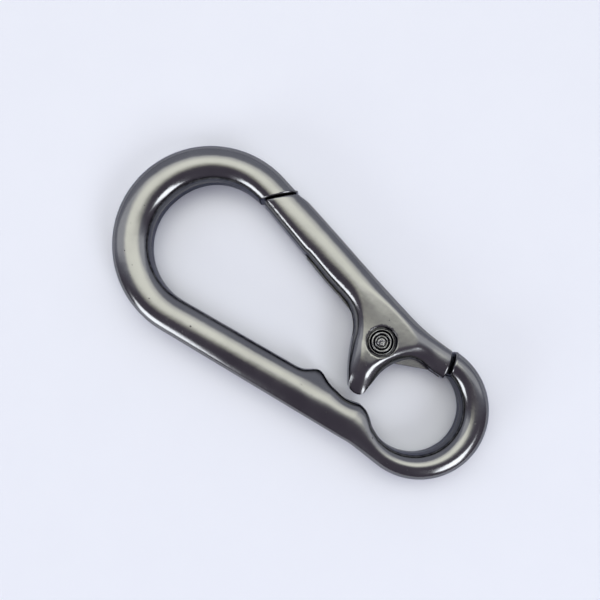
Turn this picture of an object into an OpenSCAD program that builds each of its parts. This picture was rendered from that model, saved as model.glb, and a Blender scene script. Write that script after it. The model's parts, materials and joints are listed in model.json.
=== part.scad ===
// Spring-gate snap hook, die-cast: a large bow that clips over a ring or rope and a small
// eye that carries a strap, with one sprung gate that closes the side of both.
// Millimetres. The origin is the eye's centre at mid-thickness, +X runs towards the bow
// and +Z through the eye. The spine is on the +Y side and the gate on the -Y side.

/* [Body casting] */
// Distance from the eye's centre to the bow's centre
bow_x = 45.25; // [44:0.25:48]
// Outside radius of the bow
bow_r = 17.05; // [16.9:0.05:17.4]
// Width of the bar round the bow, seen along Z
bar_w = 6.15; // [6:0.05:6.3]
// Thickness of the whole casting along Z
body_t = 7; // [6.8:0.1:8]
// Height of the flat side wall between the two rounded faces
wall_h = 4.2; // [4:0.1:4.6]
// Angle of the spine's outer edge to the X axis
spine_out_deg = 7.6; // [7.2:0.1:7.8]
// Angle of the spine's inner edge to the X axis
spine_in_deg = 8.6; // [8.4:0.1:9]

/* [Eye] */
// Inside radius of the eye
eye_r = 8.15; // [8:0.05:8.3]
// Outside radius of the eye's ring
ring_r = 11.93; // [11.8:0.01:12.2]

/* [Thumb grip on the spine] */
// Height of the bump that stops the thumb
bump_h = 1.45; // [0.5:0.05:1.6]
// Depth of the scallop beside it
scallop_d = 0.6; // [0.2:0.05:0.8]

/* [Gate] */
// Pivot's place along X
pivot_x = 11.8; // [11.7:0.05:12]
// Pivot's place along Y
pivot_y = -5.2; // [-5.3:0.05:-5.1]
// Clear gap at the slanted latch face
latch_gap = 0.25; // [0.15:0.05:0.4]
// Clear slit between the gate's tail and the ring
slit_w = 0.6; // [0.5:0.05:0.8]
// Angle that the gate opens
open_deg = 30; // [20:1:30]

/* [Rivet] */
// Radius of the rivet's shank
rivet_r = 1.5; // [1.3:0.05:1.55]
// Radius of the rivet's two formed heads
head_r = 2.3; // [2.2:0.05:2.45]
// Running clearance of the shank in the tongue's bore
run_gap = 0.05; // [0.02:0.01:0.08]

/* [Spring] */
// Diameter of the spring's wire
wire_d = 0.45; // [0.3:0.01:0.45]
// Whole turns in the coil
turns = 2; // [1:1:2]

/* [Hidden] */

gunmetal = [0.36, 0.36, 0.38];
steel = [0.55, 0.55, 0.57];
round_fn = 96;
far = 30;

bow_c = [bow_x, 0];
ring_c = [-0.82, -0.15];
pivot = [pivot_x, pivot_y];
cap_h = (body_t - wall_h) / 2;
cap_steps = 8;

// Bow: angle where the nose's straight end starts, and how much the nose thins inside.
nose_a = -98.8;
nose_run = 9;
nose_thin = 0.6;
bow_steps = 34;

// Latch face: its middle, its angle across the bar, and the size of the cutting block.
latch_c = [bow_x - 4.25, -14];
latch_turn = -41;
cut_size = 16;

// Slit between tail and ring: its middle, past the ring's outside, and its lean from the Y axis.
slit_c = [-0.1, -14.7];
slit_turn = 8;

bump_x = 17;
bump_spread = [2.3, 1.7];
scallop_x = 10.2;
scallop_spread = 2.2;
grip_step = 0.7;

// The tongue is the thin part of the frame that the gate's tail straddles.
tongue_z = [-1.5, 0.1];
tongue_hub_r = 3.3;
tongue_root = [-1.9, -10.2];
tongue_root_w = 2.2;

// Inside the gate: pocket round the coil, channel along the arm, slot for the tongue.
pocket_z = 1.6;
pocket_r = 3.55;
channel_z = 0.9;
channel_x = 31.6;
channel_floor = 1.6;
slot_gap = 0.12;
recess_r = 2.65;
recess_z = body_t / 2 - 1;

coil_r = rivet_r + 0.25 + wire_d / 2;
coil_pitch = wire_d + 0.01;
coil_z = tongue_z[1] + 0.03 + wire_d / 2;
tang_r = 3.1;
tang_a = 196;
tang_depth = 1.1;
wire_gap = 0.08;

function polar(c, r, a) = [c[0] + r * cos(a), c[1] + r * sin(a)];
function ease(t) = let (u = min(max(t, 0), 1)) u * u * (3 - 2 * u);
function hump(x, centre, spread) = exp(-pow((x - centre) / spread, 2));

// One cross-section of a bar between two edge points in plan: flat walls and an elliptical
// cap above and below. k scales its height, for a tip that rounds off.
function cap_point(edge_a, edge_b, u, z) = concat(edge_a + (edge_b - edge_a) * u, z);
function section(s) = let (k = s[2]) [
    for (side = [1, -1])
        for (i = [0 : cap_steps])
            let (a = 180 * i / cap_steps, u = (1 - side * cos(a)) / 2)
                cap_point(s[0], s[1], u, side * k * (wall_h / 2 + cap_h * sin(a)))
];

// A closed bar through a list of stations [edge point, other edge point, height scale].
module bar(stations) {
    ring_n = 2 * (cap_steps + 1);
    last = len(stations) - 1;
    points = [for (s = stations) each section(s)];
    sides = [
        for (i = [0 : last - 1])
            for (j = [0 : ring_n - 1])
                let (a = i * ring_n + j, b = i * ring_n + (j + 1) % ring_n)
                    each [[a, b, b + ring_n], [a, b + ring_n, a + ring_n]]
    ];
    near_end = [for (j = [0 : ring_n - 1]) ring_n - 1 - j];
    far_end = [for (j = [0 : ring_n - 1]) last * ring_n + j];
    polyhedron(points, concat([near_end], sides, [far_end]), convexity = 6);
}

// Outside and inside edge of the frame's bar, part by part.
function bow_inner(a) = bow_r - bar_w + nose_thin * ease((-a - 5) / 62);
function bow_station(t) = let (
    a = nose_a + t * (90 + spine_out_deg - nose_a),
    b = nose_a + t * (90 + spine_in_deg - nose_a)
) [polar(bow_c, bow_r, a), polar(bow_c, bow_inner(b), b), 1];

// The straight edge that leaves a circle round the bow's centre at an angle, at one X.
function edge_point(r, deg, x) =
    let (p = polar(bow_c, r, 90 + deg)) [x, p[1] - (p[0] - x) * tan(deg)];

function grip(x) =
    bump_h * hump(x, bump_x, bump_spread[x > bump_x ? 1 : 0])
    - scallop_d * hump(x, scallop_x, scallop_spread);
function spine_station(x) = [
    edge_point(bow_r, spine_out_deg, x - 0.8),
    edge_point(bow_r - bar_w, spine_in_deg, x) - [0, grip(x)],
    1
];
function ring_station(a) = [
    a < 90 ? ring_c + [0.145 * (90 - a), ring_r] : polar(ring_c, ring_r, a),
    polar([0, 0], eye_r - 0.05, a),
    1
];

nose_end = bow_station(0);
nose_v = nose_run * [cos(nose_a - 90), sin(nose_a - 90)];
frame_stations = concat(
    [[nose_end[0] + nose_v, nose_end[1] + nose_v, 1]],
    [for (i = [0 : bow_steps]) bow_station(i / bow_steps)],
    [for (x = [37, 29, 22]) spine_station(x)],
    [for (x = [21 : -grip_step : 7.5]) spine_station(x)],
    [for (a = [47 : 9 : 281]) ring_station(a)]
);

module at_pivot(a = 0) {
    translate([pivot_x, pivot_y, 0]) rotate(a) children();
}

// A block whose one face stands at g from a cut's middle; side says which way it lies.
module cut_block(centre, turn, side, g) {
    translate([centre[0], centre[1], 0])
        rotate(turn)
            translate([side > 0 ? g : -g - cut_size, -cut_size / 2, -cut_size / 2])
                cube(cut_size);
}

// Plan of the tongue, grown by g, between two heights.
module tongue_solid(g, z0, z1) {
    dir = tongue_root - pivot;
    n = [-dir[1], dir[0]] / norm(dir);
    past = tongue_root + dir * g / norm(dir);
    hub_half = tongue_hub_r + g;
    arm_half = hub_half - 0.3;
    root_half = tongue_root_w / 2 + g;
    translate([0, 0, z0])
        linear_extrude(z1 - z0)
            polygon([pivot + n * arm_half, past + n * root_half,
                     past - n * root_half, pivot - n * arm_half]);
    translate([pivot_x, pivot_y, z0])
        cylinder(r = hub_half, h = z1 - z0, $fn = round_fn);
}

module frame() {
    color(gunmetal)
        difference() {
            union() {
                difference() {
                    bar(frame_stations);
                    cut_block(latch_c, latch_turn, -1, -latch_gap / 2);
                    cut_block(slit_c, slit_turn, 1, -slit_w / 2);
                }
                tongue_solid(0, tongue_z[0], tongue_z[1]);
            }
            cylinder(r = eye_r, h = far, center = true, $fn = round_fn);
            at_pivot() cylinder(r = rivet_r + run_gap, h = far, center = true, $fn = round_fn);
            translate(concat(polar(pivot, tang_r, tang_a), tongue_z[1] - tang_depth - wire_gap))
                cylinder(r = wire_d / 2 + wire_gap, h = 2 * tang_depth, $fn = round_fn);
        }
}

// Gate: outside and inside edge from the tail to past the latch face. The inside edge runs
// round the eye, a little closer in over the tail and a little farther out on the lever.
function tail_r(a) = 8.53 - 1.5 * ease((-a - 46) / 34) + 0.35 * ease((a - 4) / 14);
function tail_edge(a) = polar([0, 0], tail_r(a), a);

gate_stations = [
    [[-1.8, -12], tail_edge(-102), 1],
    [[0.6, -11.74], tail_edge(-88), 1],
    [[2.2, -11.6], tail_edge(-72), 1],
    [[3.9, -11.52], tail_edge(-56), 1],
    [[5.6, -11.5], tail_edge(-40), 1],
    [[7.4, -11.56], tail_edge(-26), 1],
    [[9.4, -11.75], [9.2, -1.4], 1],
    [[11.6, -12.05], [11.8, -0.2], 1],
    [[13.8, -12.38], [14.2, -1], 1],
    [[16, -12.74], [15.9, -3.2], 1],
    [[18.2, -13.2], [17.7, -5.6], 1],
    [[20.4, -13.55], [20, -7.0], 1],
    [[23, -13.98], [22.8, -7.65], 1],
    [[27, -14.63], [26.8, -8.35], 1],
    [[31, -15.3], [31, -9.2], 1],
    [[31.9, -15.45], [31.9, -9.15], 1],
    [[38, -16.43], [38.8, -10.5], 1],
    [[46, -17.7], [47, -12.1], 1]
];
lever_stations = [
    [[16.5, -4], [7.6, -3.9], 0.96],
    [[15.35, -2], tail_edge(-16), 0.97],
    [[14.6, -0.7], tail_edge(-7), 0.98],
    [[13.85, 0.6], tail_edge(2), 0.98],
    [[13.05, 1.95], tail_edge(10), 0.97],
    [[12.4, 2.9], [8.6, 2.5], 0.95],
    [[11.6, 3.95], [8.5, 3.4], 0.88],
    [[10.95, 4.35], [8.75, 4], 0.76],
    [[10.3, 4.5], [9.5, 4.4], 0.5]
];

// The channel's lower lip stands proud of the arm's inside edge and ends in a step.
lip_edge = [[channel_x, -8.85], [20.4, -6.75]];

// Room inside the gate for the coil, the spring's long leg and the swinging tongue.
module gate_cavity() {
    translate([pivot_x, pivot_y, -pocket_z])
        cylinder(r = pocket_r, h = 2 * pocket_z, $fn = round_fn);
    for (a = [0 : -6 : -open_deg - 2])
        translate([pivot_x, pivot_y, 0])
            rotate(a)
                translate([-pivot_x, -pivot_y, 0])
                    tongue_solid(slot_gap, tongue_z[0] - slot_gap, tongue_z[1] + slot_gap);
    translate([0, 0, -channel_z])
        linear_extrude(2 * channel_z)
            polygon([[channel_x, channel_floor_y(channel_x)], [channel_x, -8], [20, -5],
                     [16, -4], pivot, [pivot_x, channel_floor_y(pivot_x)]]);
}
function channel_floor_y(x) = -12.05 - 0.163 * (x - 11.6) + channel_floor;

module gate() {
    color(gunmetal)
        difference() {
            union() {
                bar(gate_stations);
                bar(lever_stations);
                translate([0, 0, -wall_h / 2])
                    linear_extrude(wall_h / 2)
                        polygon(concat(lip_edge, [[20.4, -9], [channel_x, -12]]));
            }
            cut_block(latch_c, latch_turn, 1, -latch_gap / 2);
            cut_block(slit_c, slit_turn, -1, -slit_w / 2);
            gate_cavity();
            at_pivot() cylinder(r = rivet_r, h = far, center = true, $fn = round_fn);
            for (side = [0, 1])
                mirror([0, 0, side])
                    translate([pivot_x, pivot_y, recess_z])
                        cylinder(r = recess_r, h = far, $fn = round_fn);
        }
}

// Half of the rivet's outline in radius and height: shank, then a formed head with two
// turned grooves, a raised ring between them and a dimple in the middle.
rivet_half = [
    [rivet_r, 0], [rivet_r, recess_z], [head_r, recess_z], [head_r, recess_z + 0.5],
    [head_r - 0.1, recess_z + 0.6], [head_r - 0.35, recess_z + 0.35],
    [head_r - 0.6, recess_z + 0.62], [head_r - 0.85, recess_z + 0.6],
    [head_r - 1.15, recess_z + 0.4], [head_r - 1.4, recess_z + 0.6],
    [0.45, recess_z + 0.65], [0.2, recess_z + 0.45], [0, recess_z + 0.45]
];

module rivet() {
    color(steel)
        at_pivot()
            for (side = [0, 1])
                mirror([0, 0, side])
                    rotate_extrude($fn = round_fn)
                        polygon(concat([[0, 0]], rivet_half));
}

// The torsion spring's centre line: long leg in the arm, coil round the rivet, short leg,
// and a tang bent down into the tongue.
leg_x = 28;
leg_end = [leg_x, channel_floor_y(leg_x) + wire_d / 2 + wire_gap];
leg_v = leg_end - pivot;
leg_a = atan2(leg_v[1], leg_v[0]) - acos(coil_r / norm(leg_v));
short_a = tang_a + acos(coil_r / tang_r) - 360;
coil_sweep = 360 * turns + leg_a - short_a;
coil_top = coil_z + coil_pitch * turns;
tang_p = polar(pivot, tang_r, tang_a);
coil_n = 24 * turns;

spring_path = concat(
    [concat(leg_end, coil_z)],
    [for (i = [0 : coil_n])
        concat(polar(pivot, coil_r, leg_a - coil_sweep * i / coil_n),
               coil_z + coil_pitch * turns * i / coil_n)],
    [concat(tang_p + (pivot - tang_p) * 0.09, coil_top)],
    [concat(tang_p, coil_top - 0.3), concat(tang_p, tongue_z[1] - tang_depth)]
);

function unit(v) = v / norm(v);
function heading(p, i) = unit(p[min(i + 1, len(p) - 1)] - p[max(i - 1, 0)]);

// A round wire of 8 sides along a path that never runs along Y.
module wire(path, r) {
    sides = 8;
    last = len(path) - 1;
    points = [
        for (i = [0 : last])
            let (t = heading(path, i), flat = norm([t[0], t[1]]) > 0.5,
                 side = flat ? unit(cross([0, 0, 1], t)) : unit(cross(unit(tang_turn), t)),
                 up = cross(t, side))
                for (j = [0 : sides - 1])
                    path[i] + r * (cos(360 * j / sides) * side + sin(360 * j / sides) * up)
    ];
    skin = [
        for (i = [0 : last - 1])
            for (j = [0 : sides - 1])
                let (a = i * sides + j, b = i * sides + (j + 1) % sides)
                    each [[a, b, b + sides], [a, b + sides, a + sides]]
    ];
    near_end = [for (j = [0 : sides - 1]) sides - 1 - j];
    far_end = [for (j = [0 : sides - 1]) last * sides + j];
    polyhedron(points, concat([near_end], skin, [far_end]), convexity = 10);
}

// At the tang the wire turns from level to straight down, about the level side axis.
tang_turn = concat(tang_p - polar(pivot, coil_r, short_a), 0);

module spring() {
    color(steel) wire(spring_path, wire_d / 2);
}

frame();
gate();
rivet();
spring();
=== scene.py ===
"""The looks of a die-cast spring-gate snap hook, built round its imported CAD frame.

Lengths are millimetres in the row frame until place() turns a mesh into metres.
"""

import json
import math

import bmesh
import bpy
import numpy as np
from mathutils import Matrix, Vector
from mathutils.geometry import delaunay_2d_cdt


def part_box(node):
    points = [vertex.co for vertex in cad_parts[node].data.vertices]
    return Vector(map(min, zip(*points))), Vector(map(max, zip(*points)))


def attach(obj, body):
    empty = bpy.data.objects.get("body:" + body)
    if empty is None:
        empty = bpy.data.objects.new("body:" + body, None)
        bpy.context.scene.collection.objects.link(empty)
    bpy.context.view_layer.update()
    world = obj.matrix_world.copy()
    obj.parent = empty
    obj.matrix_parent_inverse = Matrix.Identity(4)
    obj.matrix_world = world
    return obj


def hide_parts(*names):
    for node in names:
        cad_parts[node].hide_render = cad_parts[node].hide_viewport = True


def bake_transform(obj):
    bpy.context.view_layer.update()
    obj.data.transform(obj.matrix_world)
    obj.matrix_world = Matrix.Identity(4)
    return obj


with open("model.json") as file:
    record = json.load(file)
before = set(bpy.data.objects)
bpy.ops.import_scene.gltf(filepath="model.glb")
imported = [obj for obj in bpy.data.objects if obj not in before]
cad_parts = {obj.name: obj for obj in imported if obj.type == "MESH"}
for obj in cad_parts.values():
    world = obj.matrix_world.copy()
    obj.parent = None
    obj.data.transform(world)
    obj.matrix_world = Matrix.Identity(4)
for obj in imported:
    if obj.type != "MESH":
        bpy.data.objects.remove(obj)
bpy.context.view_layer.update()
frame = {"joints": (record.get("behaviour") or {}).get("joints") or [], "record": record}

MM = 0.001

# ---------------------------------------------------------------- sizes from the CAD frame

mounts = {m["name"]: m for m in frame["record"]["mounts"]}
joint = frame["joints"][0]
EYE_R = mounts["eye"]["dims"]["r_mm"]
BOW_IN_R = mounts["bow"]["dims"]["r_mm"]
BOW = np.array(mounts["bow"]["pos_m"][:2]) / MM
PIVOT = np.array(joint["pos_m"][:2]) / MM
OPEN_DEG = joint["range_deg"][1]
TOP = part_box("frame")[1].z / MM
BOW_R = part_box("frame")[1].x / MM - BOW[0]
HEAD_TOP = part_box("rivet")[1].z / MM

# ---------------------------------------------------------------- sizes of the bar

WALL = 2.1  # height of the flat wall over the mid-plane
CAP = TOP - WALL  # height of the rounded face over the wall
DOME = 1.05  # radius of the rounded face's arc, in half widths of the bar
CAP_STEPS = 26
CREASE = 0.09  # depth of the crease under the rounded face
END_ROUND = 0.34
BUMP_X, BUMP_IN = 17.0, 1.46  # the thumb bump: where it is and how far it stands in
BUMP_STEEP, BUMP_GENTLE = 1.7, 2.3
SCALLOP_X, SCALLOP_IN, SCALLOP_LONG = 10.2, 0.6, 2.2
GRIP_FALL = 0.6  # fall of the face's edge for each millimetre that the grip stands in
SEAM_LOW, SEAM_HIGH = 0.06, 0.16  # height of the parting line and of where the draft ends

RING = np.array([-0.82, -0.15])  # centre of the ring's outside edge
RING_R = 11.93
SPINE_OUT = 7.6  # slope of the spine's outside edge, in degrees
SPINE_IN = 8.6
NOSE_SLOPE = 8.8
NOSE_DEG = -74  # where the slanted nose ends and the plain bow starts
LATCH_MID = np.array([BOW[0] - 4.25, -14.0])
LATCH_DEG = -41
LATCH_GAP = 0.28
SLIT_R = 12.8  # radius of the slit's middle, about the pivot
SLIT_GAP = 0.66

TONGUE_LOW, TONGUE_HIGH = -1.5, 0.1
TONGUE_HUB = 3.25
SHANK_R = 1.5


def polar(centre, radius, degrees):
    a = math.radians(degrees)
    return np.array([centre[0] + radius * math.cos(a), centre[1] + radius * math.sin(a)])


def ease(t):
    t = np.clip(t, 0, 1)
    return t * t * (3 - 2 * t)


def hump(x, centre, spread):
    return math.exp(-(((x - centre) / spread) ** 2))


def unit(v):
    v = np.asarray(v, float)
    return v / np.linalg.norm(v)


def across(v):
    """A plan vector turned a quarter turn anticlockwise."""
    return np.array([-v[1], v[0]])


def resample(points, count):
    """That many points, evenly spaced along a plan line."""
    p = np.asarray(points, float)
    run = np.concatenate([[0], np.cumsum(np.linalg.norm(np.diff(p, axis=0), axis=1))])
    at = np.linspace(0, run[-1], count)
    return np.column_stack([np.interp(at, run, p[:, 0]), np.interp(at, run, p[:, 1])])


def smooth(points, steps):
    """A curve through all the points, with that many pieces between neighbours."""
    p = np.asarray(points, float)
    p = np.vstack([2 * p[0] - p[1], p, 2 * p[-1] - p[-2]])
    s = (np.arange(steps) / steps)[:, None]
    out = []
    for a, b, c, d in zip(p, p[1:], p[2:], p[3:]):
        curve = 2 * b + (c - a) * s + (2 * a - 5 * b + 4 * c - d) * s**2
        out.extend(0.5 * (curve + (3 * b - a - 3 * c + d) * s**3))
    out.append(p[-2])
    return np.array(out)


def dome(t):
    """Height of a rounded face, 1 in the middle and 0 at the edges, where t is -1 or 1."""
    rim = math.sqrt(DOME**2 - 1)
    return (np.sqrt(DOME**2 - np.asarray(t) ** 2) - rim) / (DOME - rim)


# ---------------------------------------------------------------- meshes and materials

GRAZING = (0.42, 0.43, 0.52, 1)  # tint of the metal's reflection at a flat angle
WEAR_AND_SHADE = "wear_and_shade"  # vertex layer: over 0 is rubbed lighter wear, under 0 is painted shade in creases and recesses


def place(name, bm, body, node, material, sharp_deg=32):
    """Turns a bmesh in millimetres into a shaded piece in metres that stands for a CAD node."""
    bmesh.ops.recalc_face_normals(bm, faces=bm.faces)
    bmesh.ops.scale(bm, vec=(MM, MM, MM), verts=bm.verts)
    mesh = bpy.data.meshes.new(name)
    bm.to_mesh(mesh)
    bm.free()
    mesh.shade_smooth()
    mesh.set_sharp_from_angle(angle=math.radians(sharp_deg))
    piece = bpy.data.objects.new(name, mesh)
    bpy.context.scene.collection.objects.link(piece)
    mesh.materials.append(material)
    if body:
        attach(piece, body)
    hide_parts(node)
    return piece


def add_rings(bm, rings, wear_and_shade, closed=True):
    """Joins rings of points with quads, and closes both ends if asked.

    The wear values, whose negatives are painted shade, are one number per ring point, or one such list per
    ring.
    """
    layer = bm.verts.layers.float.get(WEAR_AND_SHADE) or bm.verts.layers.float.new(WEAR_AND_SHADE)
    made = []
    for number, ring in enumerate(rings):
        row = [bm.verts.new(p) for p in ring]
        for v, w in zip(row, wear_and_shade[number] if isinstance(wear_and_shade[0], list) else wear_and_shade):
            v[layer] = w
        made.append(row)
    count = len(made[0])
    for a, b in zip(made, made[1:]):
        for j in range(count):
            k = (j + 1) % count
            bm.faces.new((a[j], a[k], b[k], b[j]))
    if closed:
        bm.faces.new(made[0])
        bm.faces.new(made[-1])


def shader(name, colour, rough):
    """A material with a metallic shader; returns the material, its nodes and its links."""
    material = bpy.data.materials.new(name)
    material.use_nodes = True
    nodes, links = material.node_tree.nodes, material.node_tree.links
    metal = nodes["Principled BSDF"]
    metal.inputs["Metallic"].default_value = 1.0
    metal.inputs["Base Color"].default_value = (*colour, 1)
    metal.inputs["Roughness"].default_value = rough
    metal.inputs["Specular Tint"].default_value = GRAZING
    return material, nodes, links, metal


def noise(nodes, links, coords, size_mm, detail=3.0, rough=0.5):
    """Noise whose features are about that many millimetres across."""
    made = nodes.new("ShaderNodeTexNoise")
    made.inputs["Scale"].default_value = 1 / (size_mm * MM)
    made.inputs["Detail"].default_value = detail
    made.inputs["Roughness"].default_value = rough
    links.new(coords.outputs["Object"], made.inputs["Vector"])
    return made.outputs["Fac"]


def spread(nodes, links, value, low, high, to_low, to_high):
    """Maps a value's range from low..high to to_low..to_high, held at the ends."""
    made = nodes.new("ShaderNodeMapRange")
    names = ("From Min", "From Max", "To Min", "To Max")
    for socket, number in zip(names, (low, high, to_low, to_high)):
        made.inputs[socket].default_value = number
    links.new(value, made.inputs["Value"])
    return made.outputs["Result"]


def math_node(nodes, links, kind, a, b):
    made = nodes.new("ShaderNodeMath")
    made.operation = kind
    for socket, value in zip(made.inputs, (a, b)):
        if isinstance(value, (int, float)):
            socket.default_value = value
        else:
            links.new(value, socket)
    return made.outputs[0]


def wear_and_shade_layer(nodes):
    made = nodes.new("ShaderNodeAttribute")
    made.attribute_name = WEAR_AND_SHADE
    return made.outputs["Fac"]


def tinted(nodes, links, factor, dark, light, socket):
    """Mixes two colours by a factor into a colour socket."""
    tint = nodes.new("ShaderNodeMix")
    tint.data_type = "RGBA"
    tint.inputs["A"].default_value = (*dark, 1)
    tint.inputs["B"].default_value = (*light, 1)
    links.new(factor, tint.inputs["Factor"])
    links.new(tint.outputs["Result"], socket)


def bumped(nodes, links, metal, height, strength=1.0):
    """Raises a metal's surface by a height in millimetres."""
    bump = nodes.new("ShaderNodeBump")
    bump.inputs["Distance"].default_value = MM
    bump.inputs["Strength"].default_value = strength
    links.new(height, bump.inputs["Height"])
    links.new(bump.outputs["Normal"], metal.inputs["Normal"])


def plated(name, dark, light, rough, ripple):
    """Black-nickel plating over a zinc casting: slow tint and gloss changes, fine orange peel
    over slow waves, sparse pits, edges rubbed a little lighter, and painted shade in the creases."""
    material, nodes, links, metal = shader(name, dark, rough)
    coords = nodes.new("ShaderNodeTexCoord")
    slow = noise(nodes, links, coords, 6, 2)
    waves = noise(nodes, links, coords, 1.9, 2)
    peel = noise(nodes, links, coords, 0.7, 2)
    fine = noise(nodes, links, coords, 0.09, 3)
    spots = noise(nodes, links, coords, 0.8, 1)
    pit = spread(nodes, links, spots, 0.765, 0.8, 0, 0.6)
    # Layer values times patchiness: rubbed wear lightens edges, painted shade darkens creases and recesses.
    patchy = spread(nodes, links, peel, 0.35, 0.65, 0.6, 1)
    rub_and_shade = math_node(nodes, links, "MULTIPLY", wear_and_shade_layer(nodes), patchy)
    shade = spread(nodes, links, slow, 0.3, 0.7, 0.8, 0.94)
    shade = math_node(nodes, links, "ADD", shade, rub_and_shade)
    shade = math_node(nodes, links, "SUBTRACT", shade, pit)
    tinted(nodes, links, shade, dark, light, metal.inputs["Base Color"])
    gloss = spread(nodes, links, slow, 0.3, 0.7, rough - 0.025, rough + 0.03)
    gloss = math_node(nodes, links, "ADD", gloss, spread(nodes, links, fine, 0.3, 0.7, -0.02, 0.03))
    gloss = math_node(nodes, links, "ADD", gloss, math_node(nodes, links, "MULTIPLY", pit, 0.3))
    links.new(gloss, metal.inputs["Roughness"])
    height = math_node(nodes, links, "MULTIPLY", peel, ripple)
    for part, millimetres in ((waves, 0.016), (fine, 0.0006), (pit, -0.012)):
        share = math_node(nodes, links, "MULTIPLY", part, millimetres)
        height = math_node(nodes, links, "ADD", height, share)
    bumped(nodes, links, metal, height)
    return material


def turned(name, dark, light, rough):
    """Formed rivet steel under the same plating: fine spun rings, with painted shade in the grooves and down
    the sides.
    """
    material, nodes, links, metal = shader(name, dark, rough)
    coords = nodes.new("ShaderNodeTexCoord")
    move = nodes.new("ShaderNodeMapping")
    move.inputs["Location"].default_value = (-PIVOT[0] * MM, -PIVOT[1] * MM, 0)
    links.new(coords.outputs["Object"], move.inputs["Vector"])
    rings = nodes.new("ShaderNodeTexWave")
    rings.wave_type = "RINGS"
    rings.rings_direction = "Z"
    rings.inputs["Scale"].default_value = 1.6 / MM
    rings.inputs["Distortion"].default_value = 1.2
    rings.inputs["Detail Scale"].default_value = 3.0
    links.new(move.outputs["Vector"], rings.inputs["Vector"])
    mottle = noise(nodes, links, coords, 0.5, 3)
    shade = spread(nodes, links, mottle, 0.3, 0.7, 0.75, 1)
    # Adds the layer: painted shade darkens the rivet's grooves and sides below the head's top.
    shade = math_node(nodes, links, "ADD", shade, wear_and_shade_layer(nodes))
    tinted(nodes, links, shade, dark, light, metal.inputs["Base Color"])
    gloss = spread(nodes, links, mottle, 0.3, 0.7, rough - 0.05, rough + 0.08)
    links.new(gloss, metal.inputs["Roughness"])
    height = math_node(nodes, links, "MULTIPLY", rings.outputs["Fac"], 0.0012)
    lumps = math_node(nodes, links, "MULTIPLY", mottle, 0.012)
    bumped(nodes, links, metal, math_node(nodes, links, "ADD", height, lumps))
    return material


def drawn_wire():
    """Spring wire with a little uneven tarnish."""
    material, nodes, links, metal = shader("drawn_wire", (0.5, 0.5, 0.51), 0.3)
    coords = nodes.new("ShaderNodeTexCoord")
    tarnish = noise(nodes, links, coords, 0.6, 4)
    shade = spread(nodes, links, tarnish, 0.3, 0.65, 0, 1)
    tinted(nodes, links, shade, (0.32, 0.31, 0.3), (0.58, 0.58, 0.6), metal.inputs["Base Color"])
    links.new(spread(nodes, links, tarnish, 0.3, 0.7, 0.24, 0.42), metal.inputs["Roughness"])
    bumped(nodes, links, metal, math_node(nodes, links, "MULTIPLY", tarnish, 0.01), 0.3)
    return material


# ---------------------------------------------------------------- the frame


def section_profile():
    """The bar's closed section: share across from the outside edge, height, push outward, wear and painted
    shade.
    """
    reach = math.asin(1 / DOME)
    cap = [(DOME * math.sin(reach * (2 * i / CAP_STEPS - 1))) for i in range(CAP_STEPS + 1)]
    top = [((1 + t) / 2, WALL + CAP * float(dome(t)), 0, 0.0) for t in cap]
    # Outside edge rubbed a little lighter; the inside edge, its crease and the wall under it get painted
    # shade.
    top[0] = (0, WALL, -0.02, 0.05)
    top[-1] = (1, WALL, -0.02, -0.9)
    for row, wear_and_shade in ((-4, -0.15), (-3, -0.55), (-2, -0.75)):
        top[row] = (*top[row][:3], wear_and_shade)
    wall = [(WALL - CREASE, 0.03, -0.8), (WALL - 2.5 * CREASE, 0.04, -0.5),
            (SEAM_HIGH, 0.06, 0), (SEAM_LOW, 0.09, 0.1)]
    inner = [(1, z, push, w) for z, push, w in wall]
    outer = [(0, z, push, max(w, 0)) for z, push, w in wall]
    low = [(u, -z, push, w) for u, z, push, w in reversed(top)]
    under_inner = [(u, -z, push, w) for u, z, push, w in reversed(inner)]
    under_outer = [(u, -z, push, w) for u, z, push, w in outer]
    return top + inner + under_inner + low + under_outer + outer[::-1]


def section(outer, inner, plain_inner, scale, profile):
    """One ring of points. The thumb grip only moves the part of the face next to the edge."""
    side = unit(np.asarray(outer) - inner)
    stands_in = max(0, float((inner - plain_inner) @ -side))
    ring = []
    for u, z, push, _ in profile:
        p = outer + (plain_inner - outer) * u + (inner - plain_inner) * u**4
        p = p + side * push * (1 if u < 0.5 else -1)
        low = 1 - GRIP_FALL * stands_in * u**6 / WALL
        ring.append((p[0], p[1], z * scale * low))
    return ring


def rounded_end(outer, inner, out_dir, radius):
    """Sections that round an end off: outside point, inside point and height scale."""
    mid = (outer + inner) / 2
    made = []
    for a in np.linspace(0, math.pi / 2, 7):
        drawn_in = radius * (1 - math.cos(a))
        step = out_dir * radius * (math.sin(a) - 1)
        made.append((outer + unit(mid - outer) * drawn_in + step,
                     inner + unit(mid - inner) * drawn_in + step, 1 - drawn_in / TOP))
    return made


def bow_inner_r(degrees):
    """Radius of the bow's inside edge; the bar thins a little towards the nose."""
    return BOW_IN_R + 0.6 * float(ease((-degrees - 5) / 62))


def edge_line(radius, slope, x):
    """Plan y at x of the straight edge that leaves the bow's circle at that slope."""
    start = polar(BOW, radius, 90 + slope)
    return start[1] - (start[0] - x) * math.tan(math.radians(slope))


def thumb_grip(x):
    """How far the spine's inside edge stands in: a steep bump and, beside it, a scallop."""
    bump = BUMP_IN * hump(x, BUMP_X, BUMP_STEEP if x > BUMP_X else BUMP_GENTLE)
    return bump - SCALLOP_IN * hump(x, SCALLOP_X, SCALLOP_LONG)


def latch_point(p, gap):
    """How far a plan point lies past the latch face, towards the bow, less the gap."""
    n = polar((0, 0), 1, LATCH_DEG)
    return (p - LATCH_MID) @ n - gap


def cross_latch(p, q, gap):
    """Where the line from p to q meets the latch face."""
    a, b = latch_point(p, gap), latch_point(q, gap)
    return p + (q - p) * a / (a - b)


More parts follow.
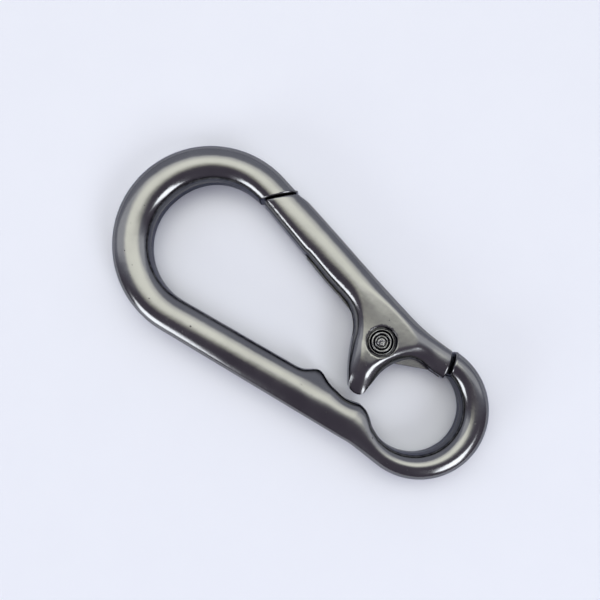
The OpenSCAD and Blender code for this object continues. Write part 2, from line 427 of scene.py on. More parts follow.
def bow_rungs():
    """Outside and inside edge points from the nose's tip to the end of the bow's circle."""
    touch = polar(BOW, BOW_R, -90 - NOSE_SLOPE)
    past_tip = touch + 8 * polar((0, 0), 1, 180 - NOSE_SLOPE)
    inner_arc = [polar(BOW, bow_inner_r(a), a) for a in np.arange(-110, NOSE_DEG + 1, 2.0)]
    first = next(i for i, p in enumerate(inner_arc) if latch_point(p, LATCH_GAP / 2) > 0)
    nose_in = cross_latch(inner_arc[first - 1], inner_arc[first], LATCH_GAP / 2)
    outer_nose = [cross_latch(past_tip, touch, LATCH_GAP / 2), touch]
    outer_nose += [polar(BOW, BOW_R, a) for a in np.arange(-98, NOSE_DEG + 1, 2.0)]
    outer = list(resample(outer_nose, 34))
    inner = list(resample([nose_in] + inner_arc[first:], 34))
    for a in np.arange(NOSE_DEG + 2.0, 90.1, 2.0):
        outer.append(polar(BOW, BOW_R, a * (90 + SPINE_OUT) / 90 if a > 0 else a))
        inner.append(polar(BOW, bow_inner_r(a), a * (90 + SPINE_IN) / 90 if a > 0 else a))
    return outer, inner


def add_spine_rungs(outer, inner, plain):
    """Runs the edges on down the straight spine, past the thumb grip."""
    for x in list(np.linspace(42.6, 22, 26)) + list(np.arange(21.7, 7.4, -0.35)):
        outer.append(np.array([x - 0.8 * ease((43 - x) / 20), 0]))
        outer[-1][1] = edge_line(BOW_R, SPINE_OUT, outer[-1][0])
        y = edge_line(BOW_IN_R, SPINE_IN, x)
        plain.append(np.array([x, y]))
        inner.append(np.array([x, y - thumb_grip(x)]))


def add_ring_rungs(outer, inner, plain):
    """Bends the edges into the ring and runs them round the eye to the slit."""
    steps = 6
    outer_bend = smooth([outer[-1], (5.2, 11.84), (3.3, 11.79), (1.2, 11.79), (-0.82, 11.78)], steps)
    inner_bend = smooth([inner[-1], (6.4, 5.66), polar((0, 0), EYE_R, 50),
                         polar((0, 0), EYE_R, 62), polar((0, 0), EYE_R, 76)], steps)
    plain_end = plain[-1]
    for i in range(1, len(outer_bend)):
        outer.append(outer_bend[i])
        inner.append(inner_bend[i])
        plain.append(inner_bend[i] + (plain_end - inner_bend[0]) * (1 - ease(i / steps)))
    ring_end = ring_end_points()
    out_span = math.degrees(math.atan2(*(ring_end[0] - RING)[::-1])) % 360
    in_span = math.degrees(math.atan2(*ring_end[1][::-1])) % 360
    for f in np.linspace(0, 1, 92)[1:]:
        outer.append(polar(RING, RING_R, 90 + f * (out_span - 90)))
        inner.append(polar((0, 0), EYE_R, 76 + f * (in_span - 76)))
        plain.append(inner[-1])


def frame_rungs():
    """Outside, inside and plain inside edge points along the bar, from nose to slit."""
    outer, inner = bow_rungs()
    plain = list(inner)
    add_spine_rungs(outer, inner, plain)
    add_ring_rungs(outer, inner, plain)
    return outer, inner, plain


def ring_end_points():
    """Outside and inside edge point where the ring stops at the slit."""
    r = SLIT_R + SLIT_GAP / 2
    outer = next(polar(PIVOT, r, a) for a in np.arange(190, 240, 0.1)
                 if np.linalg.norm(polar(PIVOT, r, a) - RING) > RING_R)
    inner = next(polar(PIVOT, r, a) for a in np.arange(180, 240, 0.1)
                 if np.linalg.norm(polar(PIVOT, r, a)) > EYE_R and polar(PIVOT, r, a)[1] < 0)
    return outer, inner


def clear_of(rung, end):
    """Whether a rung of edge points lies clear of where an end starts to round off."""
    return min(np.linalg.norm(rung[0] - end[0]), np.linalg.norm(rung[1] - end[1])) > 0.12


def build_frame(material):
    profile = section_profile()
    outer, inner, plain = frame_rungs()
    latch_out = -polar((0, 0), 1, LATCH_DEG)
    nose_dir = unit(latch_out + across(latch_out) * -0.45)
    slit_out = unit(PIVOT - (outer[-1] + inner[-1]) / 2)
    nose = rounded_end(outer[0], inner[0], nose_dir, END_ROUND)
    tail = rounded_end(outer[-1], inner[-1], slit_out, END_ROUND)
    rings = [section(o, i, i, k, profile) for o, i, k in reversed(nose)]
    for rung in zip(outer[1:-1], inner[1:-1], plain[1:-1]):
        if clear_of(rung, nose[0]) and clear_of(rung, tail[0]):
            rings.append(section(*rung, 1, profile))
    rings += [section(o, i, i, k, profile) for o, i, k in tail]
    bm = bmesh.new()
    add_rings(bm, rings, [row[3] for row in profile])
    add_tongue(bm)
    return place("hook_frame", bm, "frame", "frame", material)


def add_tongue(bm):
    """The thin tongue that runs from the ring's end into the gate, round the rivet."""
    edge, half = 0.15, 1.05
    root = np.array([-2.6, -10.4])
    away = unit(root - PIVOT)
    n = across(away)
    first_deg = math.degrees(math.atan2(n[1], n[0]))
    outline = [polar(PIVOT, TONGUE_HUB, first_deg - d) for d in np.linspace(8, 172, 48)]
    outline += [root - n * half, root + n * half]
    outline = np.array(outline)
    centre = outline.mean(axis=0)
    levels = ((TONGUE_LOW, edge), (TONGUE_LOW + edge, 0), (TONGUE_HIGH - edge, 0), (TONGUE_HIGH, edge))
    rows = []
    for z, drawn_in in levels:
        ring = outline + np.array([unit(centre - p) for p in outline]) * drawn_in
        rows.append([(p[0], p[1], z) for p in ring])
    add_rings(bm, rows, [0.0] * len(outline))


# ---------------------------------------------------------------- the gate

RECESS_R = 2.62
RECESS_EDGE = RECESS_R + 0.02  # where the recess's wall meets its rounded rim
RECESS_ROUND = 0.16
RECESS_DEPTH = 1.5
POCKET_R = 3.55
POCKET_Z = 1.6
CHANNEL_Z = 0.9
CHANNEL_X = 31.6
CHANNEL_FLOOR = 1.7  # from the arm's outside edge to the channel
LIP = 0.38
TAIL_R = 8.53  # radius of the gate's edge round the eye, before tail and lever
FULL_WIDTH = 6.45  # bar width over which the face keeps its full height
FILL_POWER = 40  # how suddenly a wider place stops rising
SHOULDER_FALL, SHOULDER_WIDTH = 0.5, 0.9
FLANK_FALL, FLANK_WIDTH = 0.45, 2.3
LEVER_TIP = np.array([10.0, 4.4])
TIP_FALL, TIP_REACH = 0.26, 3.6
EDGE_LIGHT, CREASE_SHADE, RECESS_SHADE = 0.05, -0.75, -0.85  # layer values: rubbed outside edge, painted shade in the inside crease and in the recess
WEAR_AND_SHADE_WIDTH = 0.26
SEAM_HALF = 0.4  # half height of the band in the gate's wall between lip and plain edge
LIP_DIR = unit((-0.16, 1.0))


def gate_outer(x):
    """Plan y of the gate's outside edge along the straight arm."""
    touch = polar(BOW, BOW_R, -90 - NOSE_SLOPE)
    bow_side = 0.3 * float(ease((x - 16) / 20))
    return touch[1] + (touch[0] - x) * math.tan(math.radians(NOSE_SLOPE)) - bow_side


def tail_edge(degrees):
    """The gate's edge round the eye: closer in over the tail, farther out on the lever."""
    radius = TAIL_R - 1.5 * ease((-degrees - 46) / 34) + 0.35 * ease((degrees - 4) / 14)
    return polar((0, 0), float(radius), degrees)


def arm_inner_edge():
    """The arm's edge towards the bow, from past the latch face to the lever's tip."""
    return [(46.5, -12.1), (43.05, -11.45), (38.5, -10.5), (35, -9.78), (32.2, -9.22), (31.7, -9.14),
            (31.2, -9.16), (29.8, -8.92), (27.8, -8.5), (25.6, -8.05), (23.6, -7.72), (22, -7.45),
            (20.4, -7.05), (18.8, -6.2), (17.55, -5.06), (16.64, -3.9), (15.8, -2.3), (14.68, -0.33),
            (13.67, 1.27), (12.44, 2.88), (11.65, 3.93), (10.9, 4.42)]


def gate_outline():
    """The gate's edge in plan, run on past the latch face and the slit, anticlockwise."""
    tail = [(-2.4, -12.1), (-0.9, -11.9), (0.6, -11.74), (2, -11.6), (4, -11.52), (6, -11.5), (8, -11.6),
            (10, -11.83), (12, -12.12), (14, -12.42), (16, gate_outer(16)), (18, gate_outer(18))]
    arm_out = [(x, gate_outer(x)) for x in np.linspace(20, 46, 30)]
    tip = [(10.1, 4.58), (9.3, 4.4), (8.7, 3.97), (8.5, 3.3)]
    lever_in = [tail_edge(a) for a in (15, 8, 0, -8, -16, -26, -36, -46, -56, -66, -76, -88, -98, -106)]
    lower = smooth(tail + arm_out, 5)
    upper = smooth(arm_inner_edge() + tip + lever_in, 6)
    return np.vstack([lower, upper])


def distance_to(points, line):
    """Distance of each plan point to a plan line given as points."""
    best = np.full(len(points), 1e9)
    for a, b in zip(line, line[1:]):
        d = b - a
        t = np.clip(((points - a) @ d) / max(d @ d, 1e-12), 0, 1)
        best = np.minimum(best, np.linalg.norm(points - a - t[:, None] * d, axis=1))
    return best


def inside(points, outline):
    """Which plan points lie within a closed outline."""
    x, y = points[:, 0], points[:, 1]
    odd = np.zeros(len(points), bool)
    for a, b in zip(outline, np.roll(outline, -1, axis=0)):
        crosses = (a[1] > y) != (b[1] > y)
        if a[1] != b[1]:
            odd ^= crosses & (x < (b[0] - a[0]) * (y - a[1]) / (b[1] - a[1]) + a[0])
    return odd


def latch_cut():
    """The gate's end face in plan: straight, with both its corners rounded back."""
    n = polar((0, 0), 1, LATCH_DEG)
    along = across(n)
    made = []
    for s, back in ((-4.6, 1.6), (-3.45, 0.5), (-3.2, 0.2), (-2.85, 0.05), (-2.4, 0), (0, 0), (2.2, 0),
                    (2.6, 0.06), (2.85, 0.22), (3.05, 0.5), (4.2, 1.7)):
        made.append(LATCH_MID + along * s - n * (back + LATCH_GAP / 2))
    return smooth(made, 4)


def slit_cut():
    """The tail's end face in plan, an arc about the pivot."""
    return np.array([polar(PIVOT, SLIT_R - SLIT_GAP / 2, a) for a in np.arange(188, 226, 1.0)])


def solve_membrane(points, triangles, edge_points):
    """Height of a membrane blown up over the plan, held at the edge; its curvature is -1.

    Over a straight bar of width w it is (w * w / 8) * (1 - t * t), so the square root of 8
    times it is the bar's width times a round profile.
    """
    p = points[triangles]
    weights, rows, cols = [], [], []
    area = np.zeros(len(points))
    for k in range(3):
        a, b, c = p[:, k], p[:, (k + 1) % 3], p[:, (k + 2) % 3]
        u, v = a - c, b - c
        double = np.abs(u[:, 0] * v[:, 1] - u[:, 1] * v[:, 0])
        weights.append(0.5 * (u * v).sum(1) / np.maximum(double, 1e-12))
        rows.append(triangles[:, k])
        cols.append(triangles[:, (k + 1) % 3])
        area += np.bincount(triangles[:, k], double / 6, len(points))
    weights, rows, cols = (np.concatenate(x) for x in (weights, rows, cols))
    free = ~edge_points
    diagonal = np.bincount(rows, weights, len(points)) + np.bincount(cols, weights, len(points))
    diagonal = np.maximum(diagonal, 1e-9)

    def stiff(x):
        flow = weights * (x[rows] - x[cols])
        return (np.bincount(rows, flow, len(x)) - np.bincount(cols, flow, len(x))) * free

    u = np.zeros(len(points))
    residual = area * free
    step = residual / diagonal
    direction, energy = step.copy(), residual @ step
    for _ in range(2500):
        pull = stiff(direction)
        share = energy / (direction @ pull)
        u += share * direction
        residual -= share * pull
        step = residual / diagonal
        now = residual @ step
        if now < 1e-16:
            break
        direction = step + direction * now / energy
        energy = now
    return np.maximum(u, 0)


def layer_points(outline, ring):
    """Loose plan points in rows that follow the outline, close together at the edge."""
    side = np.roll(outline, -1, axis=0) - np.roll(outline, 1, axis=0)
    side = np.column_stack([-side[:, 1], side[:, 0]]) / np.linalg.norm(side, axis=1)[:, None]
    layers = []
    for depth in (0.03, 0.09, 0.17, 0.28, 0.42, 0.6, 0.82):
        layer = outline + side * depth
        layers.append(layer[(distance_to(layer, ring) > 0.93 * depth) & inside(layer, outline)])
    return layers


def grid_points(outline, ring, step=0.36):
    """Loose plan points in an even triangle grid, clear of the edge."""
    low, high = outline.min(axis=0), outline.max(axis=0)
    xs, ys = np.meshgrid(np.arange(low[0], high[0], step), np.arange(low[1], high[1], step * 0.866))
    xs[1::2] += step / 2
    grid = np.column_stack([xs.ravel(), ys.ravel()])
    grid = grid[inside(grid, outline)]
    return grid[distance_to(grid, ring) > 1.0]


def gate_plan():
    """A fine triangle mesh of the gate in plan: points, triangles and membrane height."""
    outline = gate_outline()
    ring = np.vstack([outline, outline[:1]])
    count = len(outline)
    points = [outline]
    edges = [(i, (i + 1) % count) for i in range(count)]

    def add_line(line, closed=False):
        base = sum(len(x) for x in points)
        points.append(line)
        edges.extend((base + i, base + i + 1) for i in range(len(line) - 1))
        if closed:
            edges.append((base + len(line) - 1, base))

    n = polar((0, 0), 1, LATCH_DEG)
    for depth in (0, 0.03, 0.09, 0.17, 0.27, 0.4):
        add_line(latch_cut() - n * depth)
        add_line(np.array([p + unit(PIVOT - p) * depth for p in slit_cut()]))
    rim = [RECESS_EDGE + RECESS_ROUND * f for f in (0, 0.1, 0.4, 1)]
    for r in (RECESS_R - 0.5, RECESS_R, *rim):
        add_line(np.array([polar(PIVOT, r, a) for a in np.arange(0, 360, 5.0)]), True)
    loose = np.vstack([*layer_points(outline, ring), grid_points(outline, ring)])
    lines = np.vstack(points[1:])
    near = np.array([np.min(np.hypot(*(lines - p).T)) for p in loose])
    points.append(loose[near > 0.09])
    every = np.vstack(points)
    made = delaunay_2d_cdt([Vector(p) for p in every], edges, [list(range(count))], 1, 1e-5)
    plan = np.array([tuple(v) for v in made[0]])
    triangles = np.array([f for f in made[2] if len(f) == 3])
    on_edge = distance_to(plan, ring) < 1e-4
    return plan, triangles, solve_membrane(plan, triangles, on_edge)


def face_height(membrane):
    """The rounded face: full height where the gate is as wide as the bar, lower where narrower."""
    width = np.sqrt(8 * membrane) / FULL_WIDTH
    full = width / (1 + width**FILL_POWER) ** (1 / FILL_POWER)
    return WALL + CAP * dome(np.sqrt(np.maximum(1 - full**2, 0)))


def shoulder_fall(plan):
    """How far the face rolls down to the arm's inside edge."""
    on_arm = ease((plan[:, 0] - 15.5) / 3)
    from_edge = distance_to(plan, smooth(arm_inner_edge(), 4))
    return SHOULDER_FALL * on_arm * np.clip(1 - from_edge / SHOULDER_WIDTH, 0, 1) ** 2


def flank_fall(plan):
    """How far the face slopes down to the eye, from the tail to the lever."""
    turn = np.degrees(np.arctan2(plan[:, 1], plan[:, 0]))
    from_eye = np.linalg.norm(plan, axis=1) - TAIL_R
    flank = ease((turn + 75) / 50) * ease((52 - turn) / 30)
    return FLANK_FALL * flank * ease(1 - from_eye / FLANK_WIDTH)


def hub_fall(plan):
    """How far the wide hub leans down from the arm's ridge towards the spine."""
    x = plan[:, 0]
    past_ridge = np.clip(plan[:, 1] + 10 + 0.16 * (x - 18.5), 0, 6)
    lean = (0.08 + 0.22 * ease((x - 12.5) / 6)) * ease((28 - x) / 7) * ease((x - 4) / 5)
    return lean * (np.hypot(1, past_ridge / 2) - 1)


def gate_height(plan, membrane):
    """Height of the gate's face over the mid-plane at each plan point."""
    height = face_height(membrane)
    height -= shoulder_fall(plan)
    height -= flank_fall(plan)
    height -= hub_fall(plan)
    height *= 1 - TIP_FALL * ease(1 - np.linalg.norm(plan - LEVER_TIP, axis=1) / TIP_REACH)
    to_latch = distance_to(plan, latch_cut())
    to_slit = np.abs(SLIT_R - SLIT_GAP / 2 - np.linalg.norm(plan - PIVOT, axis=1))
    to_slit[plan[:, 0] > PIVOT[0]] = END_ROUND
    for depth in (to_latch, to_slit):
        inward = np.clip(END_ROUND - depth, 0, END_ROUND)
        height -= END_ROUND - np.sqrt(END_ROUND**2 - inward**2)
    out = np.linalg.norm(plan - PIVOT, axis=1)
    rim = np.clip(RECESS_EDGE + RECESS_ROUND - out, 0, RECESS_ROUND)
    height -= RECESS_ROUND - np.sqrt(RECESS_ROUND**2 - rim**2)
    return np.where(out < RECESS_R + 0.01, TOP - RECESS_DEPTH, height)


def gate_wear_and_shade(plan, boundary):
    """Rubbed outside edges, and painted shade in the creases along the inside edge and in the recess."""
    inner_side = plan[:, 1] > gate_outer(0) + 2 - 0.16 * plan[:, 0]
    near = np.exp(-((distance_to(plan, boundary) / WEAR_AND_SHADE_WIDTH) ** 2))
    wear_and_shade = near * np.where(inner_side, CREASE_SHADE, EDGE_LIGHT)
    wear_and_shade[np.linalg.norm(plan - PIVOT, axis=1) < RECESS_R + 0.05] = RECESS_SHADE
    return wear_and_shade


def lip_push(plan, boundary):
    """How far the lower half stands out at each point: a lip along the arm's inside edge."""
    x, y = plan[:, 0], plan[:, 1]
    along = ease((x - 18.6) / 2.4) * ease((CHANNEL_X - 0.2 - x) / 0.35)
    inner_side = y > -10.6 - 0.16 * (x - 26)
    depth = distance_to(plan, boundary)
    return LIP * along * inner_side * np.exp(-depth / 0.8)


def between_the_cuts(plan, triangles):
    """The triangles that lie between the latch face and the slit."""
    middle = plan[triangles].mean(axis=1)
    n = polar((0, 0), 1, LATCH_DEG)
    latch = latch_cut() - LATCH_MID
    latch_side = np.array([np.interp(p @ across(n), latch @ across(n), latch @ n) - p @ n
                           for p in middle - LATCH_MID])
    slit_side = SLIT_R - SLIT_GAP / 2 - np.linalg.norm(middle - PIVOT, axis=1)
    return triangles[(latch_side > 0) & ((slit_side > 0) | (middle[:, 0] > PIVOT[0]))]


def close_rim(bm, triangles, top, low):
    """Joins the two faces all round with a wall that has creases, seam and lip."""
    uses = {}
    for a, b, c in triangles:
        for edge in ((a, b), (b, c), (c, a)):
            uses[edge] = True
    rim = [e for e in uses if (e[1], e[0]) not in uses]
    rows = {}
    for i in {k for e in rim for k in e}:
        t, b = top[i].co, low[i].co
        levels = [t.z - CREASE, t.z - 2.5 * CREASE, SEAM_HALF]
        made = [top[i]] + [bm.verts.new((t.x, t.y, z)) for z in levels]
        made += [bm.verts.new((t.x + (b.x - t.x) * f, t.y + (b.y - t.y) * f, z)) for z, f in
                 ((-SEAM_HALF, 0), (0.5 * b.z, 0.35), (b.z + 2.5 * CREASE, 1), (b.z + CREASE, 1))] + [low[i]]
        rows[i] = made
    for a, b in rim:
        for k in range(len(rows[a]) - 1):
            bm.faces.new((rows[a][k], rows[a][k + 1], rows[b][k + 1], rows[b][k]))


def build_gate(material):
    plan, triangles, membrane = gate_plan()
    triangles = between_the_cuts(plan, triangles)
    outline = gate_outline()
    ring = np.vstack([outline, outline[:1]])
    height = gate_height(plan, membrane)
    wear_and_shade_at = gate_wear_and_shade(plan, ring)
    push = lip_push(plan, ring)
    bm = bmesh.new()
    wear_and_shade = bm.verts.layers.float.new(WEAR_AND_SHADE)
    top, low = {}, {}
    for i in sorted(set(triangles.ravel())):
        x, y = plan[i]
        top[i] = bm.verts.new((x, y, height[i]))
        low[i] = bm.verts.new((x + LIP_DIR[0] * push[i], y + LIP_DIR[1] * push[i], -height[i]))
        top[i][wear_and_shade] = low[i][wear_and_shade] = wear_and_shade_at[i]
    for a, b, c in triangles:
        bm.faces.new((top[a], top[b], top[c]))
        bm.faces.new((low[c], low[b], low[a]))
    close_rim(bm, triangles, top, low)
    piece = place("hook_gate", bm, None, "gate", material)
    for cutter in (tongue_room(), coil_room(), leg_channel()):
        carve(piece, cutter)
    piece.data.set_sharp_from_angle(angle=math.radians(32))
    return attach(piece, "gate")


def prism(outline, low, high):
    """A closed prism, in metres, used only for cutting."""
    bm = bmesh.new()
    add_rings(bm, [[(p[0], p[1], z) for p in outline] for z in (low, high)], [0.0] * len(outline))
    bmesh.ops.recalc_face_normals(bm, faces=bm.faces)
    bmesh.ops.scale(bm, vec=(MM, MM, MM), verts=bm.verts)
    mesh = bpy.data.meshes.new("cutter")
    bm.to_mesh(mesh)
    bm.free()
    cutter = bpy.data.objects.new("cutter", mesh)
    bpy.context.scene.collection.objects.link(cutter)
    return cutter


def tongue_room():
    """The slot in the gate that the frame's tongue lies in and swings through."""
    hub, half, reach = 3.42, 1.22, 17.0
    shut = np.array([-1.9, -10.2]) - PIVOT
    shut_deg = math.degrees(math.atan2(shut[1], shut[0])) % 360
    open_deg = shut_deg - OPEN_DEG - 2
    low_n, high_n = shut_deg + 90, open_deg - 90
    outline = [polar(PIVOT, hub, low_n)]
    outline.append(polar(PIVOT, reach, shut_deg) + polar((0, 0), half, low_n))
    outline.append(polar(PIVOT, reach, open_deg) + polar((0, 0), half, high_n))
    outline += [polar(PIVOT, hub, a) for a in np.linspace(high_n, low_n - 360, 40)[:-1]]
    return prism(outline, -1.62, 0.22)


def coil_room():
    """The round pocket for the spring's coil."""
    return prism([polar(PIVOT, POCKET_R, a) for a in np.arange(0, 360, 5.0)], -POCKET_Z, POCKET_Z)


def leg_channel():
    """The long slot for the spring's leg, open along the arm's inside edge."""
    first = PIVOT[0] + 2
    outline = [(x, gate_outer(x) + CHANNEL_FLOOR) for x in (first, CHANNEL_X)]
    outline += [(CHANNEL_X, -7.5), (21, -4), (17, -2.5), (first, PIVOT[1])]
    return prism(outline, -CHANNEL_Z, CHANNEL_Z)


def carve(piece, cutter):
    """Cuts one closed shape out of a piece and removes the cutter."""
    cut = piece.modifiers.new("cut", "BOOLEAN")
    cut.operation = "DIFFERENCE"
    cut.solver = "EXACT"
    cut.object = cutter
    bpy.context.view_layer.update()
    shape = piece.evaluated_get(bpy.context.evaluated_depsgraph_get())
    mesh = bpy.data.meshes.new_from_object(shape)
    piece.modifiers.clear()
    piece.data = mesh
    bpy.data.objects.remove(cutter)


# ---------------------------------------------------------------- the rivet and the spring


def build_rivet(material):
    """A turned shank and two formed heads with rings, a lumpy middle and a small dimple."""
    floor = TOP - RECESS_DEPTH
    high = HEAD_TOP
    half = [(SHANK_R, 0), (SHANK_R, floor), (2.18, floor), (2.26, floor + 0.12), (2.28, high - 0.5),
            (2.27, high - 0.3), (2.21, high - 0.2), (2.12, high - 0.17), (2.03, high - 0.24),
            (1.95, high - 0.44), (1.87, high - 0.46), (1.79, high - 0.22), (1.7, high - 0.08),
            (1.57, high - 0.04), (1.44, high - 0.1), (1.35, high - 0.34), (1.25, high - 0.38),
            (1.15, high - 0.2), (1.04, high - 0.1), (0.93, high - 0.12), (0.85, high - 0.26),
            (0.76, high - 0.2), (0.6, high - 0.05), (0.42, high - 0.03), (0.28, high - 0.12),
            (0.12, high - 0.18)]
    around = 96
    bm = bmesh.new()
    for sign in (1, -1):
        line = half[:7] + [tuple(p) for p in smooth(half[7:], 3)]
        rings = [lathe_ring(r, z, sign, around) for r, z in line]
        # Painted shade: darkens the heads' grooves and sides below the top, and the shank.
        dark = [[-0.9 * float(ease((high - 0.12 - z) / 0.22))] * around for r, z in line]
        add_rings(bm, rings, dark, closed=False)
        bm.verts.ensure_lookup_table()
        bm.faces.new(bm.verts[-around:])
    bmesh.ops.remove_doubles(bm, verts=bm.verts, dist=1e-5)
    return place("pivot_rivet", bm, "gate", "rivet", material, 50)


def lathe_ring(radius, z, sign, around):
    """A ring about the pivot; the head's middle is pressed a little out of true."""
    ring = []
    lump = float(ease((1.9 - radius) / 1.2)) * (1 if z > 2 else 0)
    for i in range(around):
        a = 360 * i / around
        x, y = polar(PIVOT, radius, a)
        wobble = 0.05 * math.sin(math.radians(2 * a + 40)) + 0.035 * math.sin(math.radians(3 * a + 10))
        ring.append((x, y, sign * (z + lump * wobble * radius)))
    return ring


WIRE_R = 0.225
COIL_TURNS = 2
COIL_PITCH = 0.46
COIL_STEPS = 40
LEG_X = 28.0  # where the long leg ends, under the arm
TANG_R = 3.1
TANG_DEG = 196


def spring_line():
    """The wire's centre line: long leg, coil round the rivet, short leg and tang."""
    low_z = TONGUE_HIGH + 0.03 + WIRE_R
    coil_r = SHANK_R + 0.25 + WIRE_R
    arm_edge = -12.05 - 0.163 * (LEG_X - 11.6)
    leg_end = np.array([LEG_X, arm_edge + CHANNEL_FLOOR + WIRE_R + 0.08])
    tang = polar(PIVOT, TANG_R, TANG_DEG)
    away = leg_end - PIVOT
    start = math.degrees(math.atan2(away[1], away[0]) - math.acos(coil_r / np.linalg.norm(away)))
    stop = TANG_DEG + math.degrees(math.acos(coil_r / TANG_R)) - 360
    sweep = 360 * COIL_TURNS + start - stop
    steps = COIL_STEPS * COIL_TURNS
    leave = polar(PIVOT, coil_r, start)
    line = [(*(leg_end + (leave - leg_end) * f), low_z) for f in np.linspace(0, 0.98, 24)]
    for i in range(steps + 1):
        x, y = polar(PIVOT, coil_r, start - sweep * i / steps)
        line.append((x, y, low_z + COIL_PITCH * COIL_TURNS * i / steps))
    high_z = low_z + COIL_PITCH * COIL_TURNS
    near = tang + (PIVOT - tang) * 0.09
    line += [(*near, high_z), (*tang, high_z - 0.3), (*tang, -1.0)]
    return np.array(line)


def build_spring(material):
    line = spring_line()
    around = 12
    rings = []
    normal = np.array([0, 0, 1.0])
    for i, p in enumerate(line):
        ahead = unit(line[min(i + 1, len(line) - 1)] - line[max(i - 1, 0)])
        normal = unit(normal - ahead * (normal @ ahead))
        side = np.cross(ahead, normal)
        rings.append([tuple(p + WIRE_R * (math.cos(a) * side + math.sin(a) * normal))
                      for a in np.linspace(0, 2 * math.pi, around, endpoint=False)])
    bm = bmesh.new()
    add_rings(bm, rings, [0.0] * around)
    piece = place("torsion_spring", bm, None, "spring", material, 50)
    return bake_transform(piece)


# ---------------------------------------------------------------- floor, light and camera

CAMERA_OVER = np.array([22.0, 3.6])
CAMERA_HIGH = 105.7
PICTURE_UP = unit((0.624, -0.781))
TABLE_DROP = 0.03  # keeps the table's face from meeting the hook's underside
OVERHEAD_HIGH = 700
GLOW_HIGH = 760
WINDOW_AWAY = 900


def table_top():
    """A large pale table that the hook lies on."""
    bm = bmesh.new()
    bmesh.ops.create_grid(bm, x_segments=24, y_segments=24, size=1.2)
    mesh = bpy.data.meshes.new("table")
    bm.to_mesh(mesh)
    bm.free()
    floor = bpy.data.objects.new("table", mesh)
    bpy.context.scene.collection.objects.link(floor)
    floor.location = (CAMERA_OVER[0] * MM, CAMERA_OVER[1] * MM, -(TOP + TABLE_DROP) * MM)
    material = bpy.data.materials.new("pale_table")
    material.use_nodes = True
    nodes, links = material.node_tree.nodes, material.node_tree.links
    paint = nodes["Principled BSDF"]
    paint.inputs["Roughness"].default_value = 0.6
    paint.inputs["Specular IOR Level"].default_value = 0.25
    coords = nodes.new("ShaderNodeTexCoord")
    cloudy = noise(nodes, links, coords, 9, 3)
    tinted(nodes, links, cloudy, (0.87, 0.885, 0.945), (0.89, 0.905, 0.96), paint.inputs["Base Color"])
    mesh.materials.append(material)


def picture_point(x, y, z):
    """A point by how far it lies right, up and above in the picture, from under the camera."""
    plan = CAMERA_OVER - across(PICTURE_UP) * x + PICTURE_UP * y
    return Vector((plan[0], plan[1], z))


def panel(name, centre, size, radiance, colour):
    """A soft rectangular light that faces the hook. Its sides follow the picture's."""
    data = bpy.data.lights.new(name, "AREA")
    data.shape = "RECTANGLE"
    data.size, data.size_y = size[0] * MM, size[1] * MM
    data.energy = radiance * math.pi * data.size * data.size_y
    data.color = colour
    lamp = bpy.data.objects.new(name, data)
    bpy.context.scene.collection.objects.link(lamp)
    back = (centre - picture_point(0, 0, 0)).normalized()
    side = picture_point(1, 0, 0) - picture_point(0, 0, 0)
    side = (side - back * side.dot(back)).normalized()
    axes = Matrix((side, back.cross(side), back)).transposed()
    lamp.matrix_world = Matrix.Translation(centre * MM) @ axes.to_4x4()


def room():
    """A dim bluish room, darker on the side where the photographer stands."""
    world = bpy.data.worlds.new("room")
    bpy.context.scene.world = world
    world.use_nodes = True
    nodes, links = world.node_tree.nodes, world.node_tree.links
    back = nodes["Background"]
    coords = nodes.new("ShaderNodeTexCoord")
    side = nodes.new("ShaderNodeVectorMath")
    side.operation = "DOT_PRODUCT"
    side.inputs[1].default_value = (PICTURE_UP[0], PICTURE_UP[1], 0)
    links.new(coords.outputs["Generated"], side.inputs[0])
    far_side = spread(nodes, links, side.outputs["Value"], -0.15, 0.1, 0, 1)
    tinted(nodes, links, far_side, (0.165, 0.145, 0.2), (0.47, 0.49, 0.6), back.inputs["Color"])


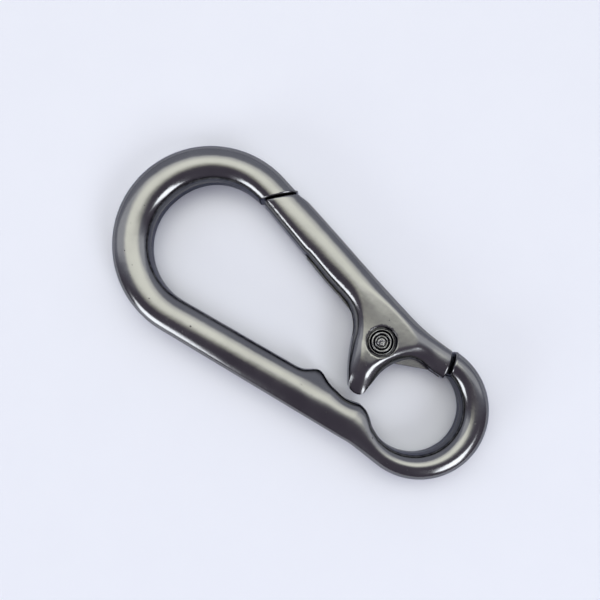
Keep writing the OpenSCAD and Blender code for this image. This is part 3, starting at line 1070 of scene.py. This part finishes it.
def overhead_panels():
    """The bright ceiling patch, as overlapping panels that soften its edges. Their sides are
    given by picture direction, as shares of their height: near, far, left and right."""
    sides = ((-0.05, 0.46, 0.48, 0.38, 0.53), (0.04, 0.6, 0.58, 0.53, 0.53),
             (0.13, 0.76, 0.7, 0.68, 0.53), (-0.12, 0.12, 0.55, -0.03, 0.42))
    high = OVERHEAD_HIGH
    for number, (near, far, left, right, radiance) in enumerate(sides, 1):
        centre = picture_point((right - left) / 2 * high, (near + far) / 2 * high, high + number)
        panel("overhead_%d" % number, centre, ((left + right) * high, (far - near) * high),
              radiance, (1, 1, 0.79))


def windows():
    """Two windows low on the photographer's side: turn in the picture, lean from straight up."""
    for name, turn, lean, size, radiance in (("window_left", 217, 70, (400, 370), 4.7),
                                             ("window_right", 311, 53, (310, 460), 5.2)):
        flat = polar((0, 0), WINDOW_AWAY * math.sin(math.radians(lean)), turn)
        high = WINDOW_AWAY * math.cos(math.radians(lean))
        panel(name, picture_point(flat[0], flat[1], high), size, radiance, (0.9, 0.94, 1))


def lights():
    room()
    overhead_panels()
    high = GLOW_HIGH
    panel("ceiling_glow", picture_point(0, 0.42 * high, high), (4.6 * high, 0.7 * high),
          0.6, (0.98, 0.99, 1))
    windows()


def camera():
    """Straight above the hook, close, with the picture's centre a little to one side."""
    data = bpy.data.cameras.new("camera")
    data.sensor_width = 36
    data.lens = 36
    data.shift_x = -0.005
    data.shift_y = 0.075
    data.clip_start = 0.005
    data.clip_end = 10
    made = bpy.data.objects.new("camera", data)
    bpy.context.scene.collection.objects.link(made)
    up = PICTURE_UP
    right = -across(up)
    made.matrix_world = Matrix((
        (right[0], up[0], 0, CAMERA_OVER[0] * MM),
        (right[1], up[1], 0, CAMERA_OVER[1] * MM),
        (0, 0, 1, CAMERA_HIGH * MM),
        (0, 0, 0, 1),
    ))
    bpy.context.scene.camera = made
    bpy.context.scene.view_settings.view_transform = "Standard"


# ---------------------------------------------------------------- the whole scene

# The dark colours are the near-black ends that painted shade in creases and recesses reaches; the light
# colours are the plating's own.
casting = plated("black_nickel", dark=(0.02, 0.02, 0.025), light=(0.252, 0.251, 0.246),
                 rough=0.17, ripple=0.0035)
rivet_finish = turned("rivet_plating", dark=(0.015, 0.015, 0.018), light=(0.3, 0.3, 0.29), rough=0.2)
build_frame(casting)
build_gate(casting)
build_rivet(rivet_finish)
build_spring(drawn_wire())
table_top()
lights()
camera()
